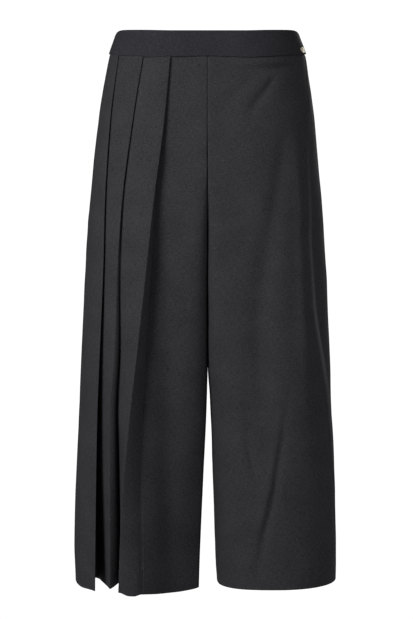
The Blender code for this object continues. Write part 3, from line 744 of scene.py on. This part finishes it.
def suiting_cloth(name, dark, pale):
    """Charcoal wool-blend suiting: matt, finely mottled, with a thread's weave in its surface."""
    material = bpy.data.materials.new(name)
    material.use_nodes = True
    tree = material.node_tree
    shader = tree.nodes["Principled BSDF"]
    cloth = node(tree, "UVMap", uv_map="cloth").outputs[0]
    threads = node(tree, "Group", {"Cloth": cloth}, node_tree=weave)
    blend = node(tree, "Group", {"Cloth": cloth}, node_tree=melange)
    shade = math_node(tree, "MULTIPLY_ADD", blend.outputs["Mottle"], MOTTLE_SHARE, SHADE_START)
    shade = math_node(tree, "MULTIPLY_ADD", threads.outputs["Shade"], THREAD_SHARE, shade)
    shade = math_node(tree, "MULTIPLY_ADD", blend.outputs["Cloud"], CLOUD_SHARE, shade)
    tone = colour_mix(tree, shade, dark, pale)
    # Painted highlight: where a panel marks it, the colour is mixed towards a pale tone along the
    # crease and side seam.
    shine = node(tree, "Attribute", attribute_name="shine", attribute_type="GEOMETRY")
    tone = colour_mix(tree, shine.outputs["Fac"], tone, PAINTED_HIGHLIGHT_TONE)
    lint = math_node(tree, "MULTIPLY", blend.outputs["Lint"], LINT_SHARE)
    tone = colour_mix(tree, lint, tone, LINT_TONE)
    tree.links.new(tone, shader.inputs["Base Color"])
    height = threads.outputs["Height"]
    relief = math_node(tree, "MULTIPLY_ADD", blend.outputs["Mottle"], MOTTLE_LIFT, height)
    bump = node(tree, "Bump", {"Height": relief, "Strength": 0.35, "Distance": 0.0002})
    tree.links.new(bump.outputs[0], shader.inputs["Normal"])
    shader.inputs["Roughness"].default_value = 0.85
    shader.inputs["Specular IOR Level"].default_value = 0.03
    return material


suiting = suiting_cloth("suiting_looks", DARK_SUITING, PALE_SUITING)


def dressed(piece, node_name):
    """Put a piece of cloth on the garment in its solid's place, and hide the solid."""
    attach(piece, "garment")
    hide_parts(node_name)


TUCK_LIFTS = (1.2, 3.6, 6.0)  # how far up the cloth goes between the waistband's two layers


def tucked(row_maker, face):
    """All rows of a panel: its hem, its length, and the edge that goes up inside the waistband."""
    rows = [row_maker(height) for height in row_heights(face)]
    top = [rows[-1] + np.array((0, 0, lift * MM)) for lift in TUCK_LIFTS]
    return with_hem(rows) + top


# Where a painted highlight lightens the crease's colour a little: height, across, how wide, how much.
CREASE_PAINTED_HIGHLIGHT = fold_routes({
    "crease": (
        (-640, 93, 1.5, 0), (-690, 92.5, 1.5, 0.05), (-757, 92.3, 1.5, 0.05),
        (-790, 92.3, 1.5, 0),
    ),
})


def crease_painted_highlight(x, y, z):
    return fold_push(CREASE_PAINTED_HIGHLIGHT, np.abs(x), z[:, None]) * (y < 0)


pleated_rows = tucked(pleated_row, "front")
right_front = laid_cloth("pleated_front", pleated_rows, suiting, grain=0.62, shine=crease_painted_highlight)
dressed(right_front, "front_right")

# ------------------------------
# The plain left front. The same suiting, cut without pleats. It hangs from the waist seam in soft
# lengthwise folds, with drag lines below the waistband and a creased fold slanting over the shin.

# How far in from the left leg's very side its side seam lies.
SIDE_SEAM = (
    ("height", "inset"),
    (-17.5, 0.3), (-60, 5), (-111, 11), (-157, 15.5), (-241, 20), (-289, 22.5),
    (-370, 21.5), (-412, 18), (-470, 10.5), (-522, 5), (-600, 2), (-782, 0.3),
)


def side_seam_at(leg, line, height):
    """Where along a leg's line its side seam is."""
    if leg == "right":
        return right_side_seam(line, height)
    inset = smooth_column(SIDE_SEAM, "inset", height)
    return line.find_across(body(leg, height) - inset)


LEFT_ROUTES = fold_routes({
    "band_ridge": ((-25, 34, 3, 0), (-26, 60, 3, -0.8), (-25, 100, 3, -1), (-23, 130, 3, 0)),
    "band_hollow": ((-35, 26, 4, 0), (-36, 56, 4.5, 3.2), (-34, 104, 4.5, 5.2), (-31, 134, 4.5, 0)),
    "drag_upper": ((-46, 98, 6, 0), (-60, 88, 6, 3.8), (-81, 72, 7, 4), (-108, 52, 9, 0)),
    "drag_lower": ((-45, 66, 5, 0), (-53, 57, 5, 1.4), (-68, 43, 6, 1.4), (-88, 24, 6, 0)),
    "long_hollow": (
        (-120, 108, 10, 0), (-159, 106, 12, 3), (-253, 92, 15, 5), (-388, 74, 17, 6),
        (-547, 74, 17, 4), (-640, 76, 16, 0),
    ),
    "broad_ridge": (
        (-120, 124, 8, 0), (-181, 130, 8, -1.8), (-294, 133, 8, -3.4),
        (-407, 137, 9, -3.4), (-480, 139, 10, -2), (-540, 138, 12, 0),
    ),
    "shin_crease": (
        (-470, 118, 5, 0), (-550, 109, 5.5, 1.8), (-597, 102, 5.5, 3.6),
        (-640, 95, 5.5, 4.6), (-677, 87, 5.5, 4.4), (-705, 80, 6, 3.6), (-759, 71, 8, 1.2),
        (-790, 67, 8, 0.6),
    ),
    "shin_tuck": (
        (-552, 52, 3, 0), (-582, 58, 3.5, 1.3), (-604, 64, 3.5, 1.5), (-625, 69, 3.5, 0.8),
        (-648, 75, 3, 0),
    ),
    "shin_ridge": (
        (-500, 107, 5, 0), (-550, 100, 5, -0.8), (-640, 86, 5, -1.6), (-705, 71, 5, -1.2),
        (-759, 62, 6, 0),
    ),
    "knee_fold": ((-430, 50, 7, 0), (-520, 56, 8, 1.6), (-582, 60, 8, 1.8), (-640, 70, 8, 0)),
    "pucker_a": (
        (-726, 166, 2.2, 0), (-742, 165, 2.2, 0.9), (-762, 164, 2.4, 0.9),
        (-790, 163, 2.4, 0),
    ),
    "pucker_b": ((-732, 153, 2, 0), (-748, 152, 2, 0.7), (-766, 151, 2.2, 0.7), (-790, 150, 2.4, 0)),
    "pucker_c": ((-736, 141, 2, 0), (-750, 140, 2, 0.5), (-768, 139, 2.2, 0.5), (-790, 138, 2.4, 0)),
})

# The left side seam stands up where its allowances are pressed open, and the front sinks beside it.
# The last column says how strongly a painted highlight lightens the ridge's colour.
SEAM_RELIEF = (
    ("height", "ridge", "hollow", "shine"),
    (-90, 0, 0, 0),
    (-149, 0.8, 0.8, 0.10),
    (-219, 1, 1, 0.20),
    (-290, 1.3, 1.4, 0.35),
    (-361, 1.9, 1.8, 0.55),
    (-431, 2.8, 2, 0.90),
    (-502, 3.4, 1.8, 1.00),
    (-572, 2.8, 1.2, 0.80),
    (-640, 1.2, 0.4, 0.30),
    (-720, 0, 0, 0),
)
PRESSED_OPEN_FROM = -149
RIDGE_WIDTH = 3.2
HOLLOW_PLACE = 14
HOLLOW_WIDTH = 7


def side_seam_relief(from_seam, height):
    """How far the left side seam's ridge and the hollow in front of it push the cloth in."""
    ridge = smooth_column(SEAM_RELIEF, "ridge", height)
    hollow = smooth_column(SEAM_RELIEF, "hollow", height)
    sunk = hollow * hump(from_seam - HOLLOW_PLACE, HOLLOW_WIDTH)
    return sunk - ridge * hump(from_seam, RIDGE_WIDTH)


STITCH_PITCH = 7  # from one of the hem's blind stitches to the next
STITCH_DEPTH = 0.22
STITCH_WIDTH = 1.1


def hem_stitching(s, height):
    """The faint line that the hem's blind stitches draw in the cloth, deeper at each catch."""
    caught = 0.6 + 0.4 * np.sin(s * math.tau / STITCH_PITCH)
    return STITCH_DEPTH * caught * hump(height - HEM - HEM_DEPTH, STITCH_WIDTH)


GROOVE = 1.0  # how far the cloth rolls in where it goes up under the waistband, and how sharply
GROOVE_WIDTH = 1.7


def waist_groove(height):
    return GROOVE * hump(WAIST_SEAM - height, GROOVE_WIDTH)


def seamed(inner, start, end):
    """Lengths along a row from edge to edge: inner ones between, and close ones at both seams."""
    way = 1 if end > start else -1
    return np.concatenate((start + way * NEAR_SEAM, inner, end - way * NEAR_SEAM[::-1]))


DART_PLACE = 0.52  # how far across a back its dart is, from the side seam
DART_COLUMNS = np.array((-3.0, -1.8, -1.0, -0.5, 0.0, 0.5, 1.0, 1.8, 3.0))
DART_HEIGHTS = (-150, -120, -40, WAIST_SEAM)
DART_DEPTHS = (0.0, 0.6, 1.1, 1.1)
DART_WIDTH = 0.9
DART_FOLD = 0.3  # how high the pressed fold stands beside the line, for each millimetre of depth
DART_FOLD_PLACE = 3.0
DART_FOLD_WIDTH = 2.5


def dart_relief(from_dart, height):
    """The dart's sewn line, with its fold pressed towards the centre, down to its tip."""
    deep = np.interp(height, DART_HEIGHTS, DART_DEPTHS)
    fold = DART_FOLD * hump(from_dart - DART_FOLD_PLACE, DART_FOLD_WIDTH)
    return deep * (hump(from_dart, DART_WIDTH) - fold)


LEFT_HEM_LIFT = 1.5  # how much higher the left leg's hem hangs
PLAIN_ROLL = 0.6  # how far a plain panel rolls in at its side seam, closed or pressed open
OPEN_ROLL = 0.1


def plain_row(leg, face, height, routes, steps, inner_steps, seed):
    """One row of a plain panel, from its side seam to its centre seam."""
    line = leg_line(leg, height)
    seam = side_seam_at(leg, line, height)
    if face == "front":
        start, end = seam + SEAM_EDGE, line.length - SEAM_EDGE
    else:
        start, end = seam - SEAM_EDGE, SEAM_EDGE
    way = 1 if end > start else -1
    first, last = start + SEAM_STEP * way, end - SEAM_STEP * way
    inner = spread_steps(first, last, height, face, steps, inner_steps)
    if face == "back":
        dart = start + DART_PLACE * (end - start)
        inner = np.sort(np.concatenate((inner, dart + DART_COLUMNS)))[::way]
    s = seamed(inner, start, end)
    x, y = line.at(s)
    push = fold_push(routes, np.abs(x), height) * (np.abs(y) > FOLDS_FROM)
    if leg == "left":
        push += side_seam_relief(s - seam, height)
    push = (push - unevenness(s - seam, height, seed)) * ease((WAIST_SEAM - height) / WAIST_HELD)
    push += hem_stitching(s, height) + waist_groove(height)
    if face == "back":
        push += dart_relief((s - dart) * way, height)
    pressed_open = leg == "left" and height < PRESSED_OPEN_FROM
    side_roll = OPEN_ROLL if pressed_open else PLAIN_ROLL
    push += seam_roll(s, start, end, height - FORK[face], side_roll)
    x, y = line.at(s, -push)
    hem_drop = -LEFT_HEM_LIFT if leg == "left" else 0.0
    points = hung(x, y, height, hem_drop=hem_drop)
    return turned_in(points, inward(line, start), inward(line, end))


def plain_rows(leg, face, routes, **settings):
    return tucked(lambda height: plain_row(leg, face, height, routes, **settings), face)


PAINTED_HIGHLIGHT_HEIGHTS = np.linspace(-710, -80, 64)


def seam_painted_highlight(x, y, z):
    """How strongly a painted highlight lightens the left side seam's ridge, on both panels."""
    seam = []
    for height in PAINTED_HIGHLIGHT_HEIGHTS:
        line = leg_line("left", height)
        seam_x, seam_y = line.at(side_seam_at("left", line, height))
        shine = smooth_column(SEAM_RELIEF, "shine", height)
        seam.append((seam_x, seam_y, shine))
    seam_x, seam_y, shine = [np.interp(z, PAINTED_HIGHLIGHT_HEIGHTS, column) for column in zip(*seam)]
    return shine * hump(np.hypot(x - seam_x, y - seam_y), RIDGE_WIDTH)


left_front_rows = plain_rows("left", "front", LEFT_ROUTES, steps=110, inner_steps=34, seed=23)
left_front = laid_cloth("plain_front", left_front_rows, suiting, shine=seam_painted_highlight)
dressed(left_front, "front_left")

# ------------------------------
# The two backs. Each is one plain cut of the suiting that takes in the seat with a dart below the
# waistband. They are seamed to the fronts at the sides and inside legs, and to each other.

RIGHT_BACK_ROUTES = fold_routes({
    "under_seat": ((-225, 34, 14, 0), (-258, 62, 17, 3), (-282, 98, 15, 2.6), (-292, 128, 12, 0)),
    "seat_fold": (
        (-268, 116, 9, 0), (-340, 110, 12, 4.5), (-470, 103, 14, 7), (-640, 100, 15, 6),
        (-790, 99, 16, 5),
    ),
    "inner_fold": ((-330, 34, 8, 0), (-430, 42, 10, 4), (-600, 48, 12, 5), (-790, 50, 13, 4)),
    "outer_fold": ((-190, 144, 6, 0), (-320, 149, 8, 2.4), (-520, 158, 9, 3.4), (-790, 160, 9, 2)),
    "middle_ridge": ((-350, 76, 11, 0), (-480, 73, 12, -2.2), (-640, 74, 13, -2.8), (-790, 75, 14, -2)),
    "drag_upper": ((-188, 16, 5, 0), (-214, 38, 6, 1.8), (-240, 68, 7, 1.8), (-262, 98, 7, 0)),
    "drag_lower": ((-240, 12, 5, 0), (-262, 28, 5, 1.6), (-294, 50, 6, 1.6), (-336, 68, 6, 0)),
    "knee_break": ((-532, 66, 6, 0), (-518, 88, 7, 1.4), (-514, 118, 6, 0)),
})
LEFT_BACK_ROUTES = fold_routes({
    "under_seat": ((-228, 36, 14, 0), (-264, 66, 18, 3.2), (-286, 102, 16, 2.4), (-298, 130, 12, 0)),
    "seat_fold": (
        (-282, 112, 9, 0), (-360, 108, 13, 5), (-500, 110, 15, 6.6), (-660, 114, 16, 5),
        (-790, 116, 17, 4),
    ),
    "inner_fold": ((-312, 36, 8, 0), (-420, 48, 11, 4.4), (-590, 60, 13, 5.4), (-790, 66, 14, 4.4)),
    "outer_fold": ((-230, 140, 6, 0), (-370, 148, 8, 2), (-560, 160, 9, 3), (-790, 163, 9, 2.4)),
    "middle_ridge": (
        (-380, 80, 11, 0), (-500, 84, 12, -2.4), (-660, 90, 13, -2.4),
        (-790, 92, 14, -1.6),
    ),
    "drag_upper": ((-196, 18, 5, 0), (-224, 42, 6, 1.6), (-252, 74, 7, 2), (-270, 104, 7, 0)),
    "drag_lower": ((-250, 12, 5, 0), (-276, 30, 5, 1.8), (-310, 48, 6, 1.4), (-350, 62, 6, 0)),
    "knee_break": ((-508, 70, 6, 0), (-498, 92, 7, 1.2), (-500, 122, 6, 0)),
})

right_back_rows = plain_rows("right", "back", RIGHT_BACK_ROUTES, steps=100, inner_steps=36, seed=31)
right_back = laid_cloth("right_back", right_back_rows, suiting)
dressed(right_back, "back_right")
left_back_rows = plain_rows("left", "back", LEFT_BACK_ROUTES, steps=110, inner_steps=36, seed=37)
left_back = laid_cloth("left_back", left_back_rows, suiting, shine=seam_painted_highlight)
dressed(left_back, "back_left")

# ------------------------------
# The waistband. Three strips of the suiting, stiffened and folded lengthwise over the top, with
# the tops of the four panels caught between their two layers. They are seamed at the sides.

BAND_PROUD = 0.5  # how far its middle stands off the body's plan
BAND_WALL = 3.0
BAND_HALF = (BAND_WALL - CLOTH) / 2
BAND_TURN = BAND_HALF / 2 - 0.1  # the radius that the outer layer's lower edge turns in on
BAND_EDGE = 0.35  # how far that edge stays above the band's foot
BAND_DIP = 0.8  # how far the top edge sags across the belly
BAND_DIP_HALF = 74
BAND_CORNER = 6.0  # how far the top edge falls at the sides, and over what length
BAND_CORNER_LENGTH = 4.0
BAND_ROLL = 0.8  # how far the stiff strips roll in at their seams, as a share of the suiting's roll
DARK_BAND = (0.0058, 0.0056, 0.0066, 1.0)
PALE_BAND = (0.0250, 0.0244, 0.0290, 1.0)
band_cloth = suiting_cloth("waistband_looks", DARK_BAND, PALE_BAND)


def band_line(height, face):
    """The plan line of one face of the waistband's middle, from the right side to the left."""
    right = half_line("right", face, height)
    left = half_line("left", face, height)
    return PlanLine(np.vstack((right, left[::-1])))


def band_profile():
    """The strip's section from its hidden turned edge, up the outside, over and down the inside."""
    turned = BAND_HALF - BAND_TURN
    profile = [(turned - BAND_TURN, level) for level in (5.0, 2.5)]
    for angle in np.radians(range(180, 361, 30)):
        level = BAND_EDGE + BAND_TURN + BAND_TURN * math.sin(angle)
        profile.append((turned + BAND_TURN * math.cos(angle), level))
    profile += [(BAND_HALF, level) for level in np.linspace(2.5, BAND_HEIGHT - 2.0, 12)]
    for angle in np.radians(range(0, 181, 20)):
        level = BAND_HEIGHT - CLOTH / 2 - BAND_HALF + BAND_HALF * math.sin(angle)
        profile.append((BAND_HALF * math.cos(angle), level))
    profile += [(-BAND_HALF, level) for level in np.linspace(BAND_HEIGHT - 3.0, 0.3, 9)]
    return profile


def band_strip(name, node_name, face, part, steps):
    """A strip of the waistband that spans part (from, to) of its face."""
    rows = []
    for out, level in band_profile():
        height = BAND_FOOT + level
        line = band_line(height, face)
        start = line.length * part[0] + SEAM_EDGE
        end = line.length * part[1] - SEAM_EDGE
        s = seamed(np.linspace(start + SEAM_STEP, end - SEAM_STEP, steps), start, end)
        rolled = seam_roll(s, start, end) * (1 if out > 0 else -1) * BAND_ROLL
        rise = BAND_PROUD + out - rolled
        x, y = line.at(s, rise)
        share = level / BAND_HEIGHT
        side = np.where(x < 0, body("right", height), body("left", height)) + BAND_PROUD
        sink = BAND_CORNER * np.exp(-(side - np.abs(x)) / BAND_CORNER_LENGTH) * share
        sink += BAND_DIP * np.exp(-((x / BAND_DIP_HALF) ** 6)) * share * (y < 0)
        rows.append(np.column_stack((x, y, height - waist_dip(x, y) * (1 - share) - sink)) * MM)
    strip = laid_cloth(name, rows, band_cloth)
    dressed(strip, node_name)


band_strip("band_front", "waistband_front", "front", (0, 1), 120)
band_strip("band_back_right", "waistband_back_right", "back", (0, 0.5), 60)
band_strip("band_back_left", "waistband_back_left", "back", (0.5, 1), 60)

# ------------------------------
# The metal pieces: a small bare plate on the left of the waistband, and the slider and pull of the
# centre back's concealed zip. They are pale gold-toned, polished and lightly rubbed.

DARK_METAL = (0.58, 0.50, 0.36, 1.0)
PALE_METAL = (0.74, 0.68, 0.58, 1.0)
METAL_ROUGHNESS = 0.34  # where it is polished most, and how much rougher it is where it is rubbed
METAL_RUBBED = 0.25


def pale_metal():
    material = bpy.data.materials.new("pale_metal_looks")
    material.use_nodes = True
    tree = material.node_tree
    shader = tree.nodes["Principled BSDF"]
    place = node(tree, "TexCoord").outputs["Object"]
    rubbed = noise_on(tree, place, 900.0, 4.0, Roughness=0.7).outputs[0]
    tree.links.new(colour_mix(tree, rubbed, DARK_METAL, PALE_METAL), shader.inputs["Base Color"])
    roughness = math_node(tree, "MULTIPLY_ADD", rubbed, METAL_RUBBED, METAL_ROUGHNESS)
    tree.links.new(roughness, shader.inputs["Roughness"])
    shader.inputs["Metallic"].default_value = 1.0
    return material


metal = pale_metal()
for name in ("waist_plate", "zip_slider", "zip_pull"):
    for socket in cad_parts[name].material_slots:
        socket.material = metal

# ------------------------------
# The studio: a pale floor and a surround that show white and fill the shadows only a little, and
# four round soft lights: the key ahead on the wearer's right, weaker ones ahead on the left and at
# the left side, and one that serves the back. Places here are in metres.

FLOOR_HEIGHT = -1.03
WHITE = 1.06  # how brightly the floor and the surround show
FILL = 0.18  # how strongly the surround lights the garment
bpy.ops.mesh.primitive_plane_add(size=400, location=(0, 0, FLOOR_HEIGHT))
floor = bpy.context.object
floor.name = "floor"
floor_look = bpy.data.materials.new("floor_looks")
floor_look.use_nodes = True
paint = floor_look.node_tree.nodes["Principled BSDF"]
paint.inputs["Base Color"].default_value = (0.45, 0.45, 0.45, 1)
paint.inputs["Roughness"].default_value = 0.9
floor.data.materials.append(floor_look)

world = bpy.data.worlds.new("studio")
bpy.context.scene.world = world
world.use_nodes = True
surround = world.node_tree.nodes["Background"]
surround.inputs["Strength"].default_value = FILL
surround.inputs["Color"].default_value = (1, 1, 1, 1)


def show_white(tree, kind, lit, output_kind):
    """Let a stage surface show plain white, while it goes on lighting the garment as it did."""
    shown = node(tree, kind, {"Color": (1, 1, 1, 1), "Strength": WHITE})
    path = node(tree, "LightPath")
    shaders = {0: path.outputs["Is Camera Ray"], 1: lit.outputs[0], 2: shown.outputs[0]}
    mixed = node(tree, "MixShader", shaders)
    output = next(each for each in tree.nodes if each.bl_idname == output_kind)
    tree.links.new(mixed.outputs[0], output.inputs["Surface"])


show_white(floor_look.node_tree, "Emission", paint, "ShaderNodeOutputMaterial")
show_white(world.node_tree, "Background", surround, "ShaderNodeOutputWorld")

LIGHTS_FACE = Vector((0, 0, -0.4))


def soft_light(name, place, watts, width=1.0):
    lamp = bpy.data.lights.new(name, "AREA")
    lamp.shape = "DISK"
    lamp.size = width
    lamp.energy = watts
    light = bpy.data.objects.new(name, lamp)
    bpy.context.scene.collection.objects.link(light)
    light.location = place
    light.rotation_euler = (LIGHTS_FACE - Vector(place)).to_track_quat("-Z", "Y").to_euler()


soft_light("key", (-1.3, -1.4, 0.45), watts=66)
soft_light("front", (1.5, -1.8, 0.35), watts=18)
soft_light("side", (2.4, -0.2, 0.5), watts=10)
soft_light("back", (0.8, 2.7, 0.7), watts=64, width=1.2)

CAMERA_PLACE = (-0.0017, -4.30, 0.001)
CAMERA_TILT = 5.152  # degrees down
PICTURE_HEIGHT = 619  # pixels
FOCAL_LENGTH = 2973.44  # pixels
camera_data = bpy.data.cameras.new("camera")
camera_data.sensor_fit = "VERTICAL"
camera_data.sensor_height = 36
camera_data.lens = FOCAL_LENGTH * camera_data.sensor_height / PICTURE_HEIGHT
camera = bpy.data.objects.new("camera", camera_data)
bpy.context.scene.collection.objects.link(camera)
camera.location = CAMERA_PLACE
camera.rotation_euler = (math.radians(90 - CAMERA_TILT), 0, 0)
bpy.context.scene.camera = camera
bpy.context.scene.view_settings.view_transform = "Standard"
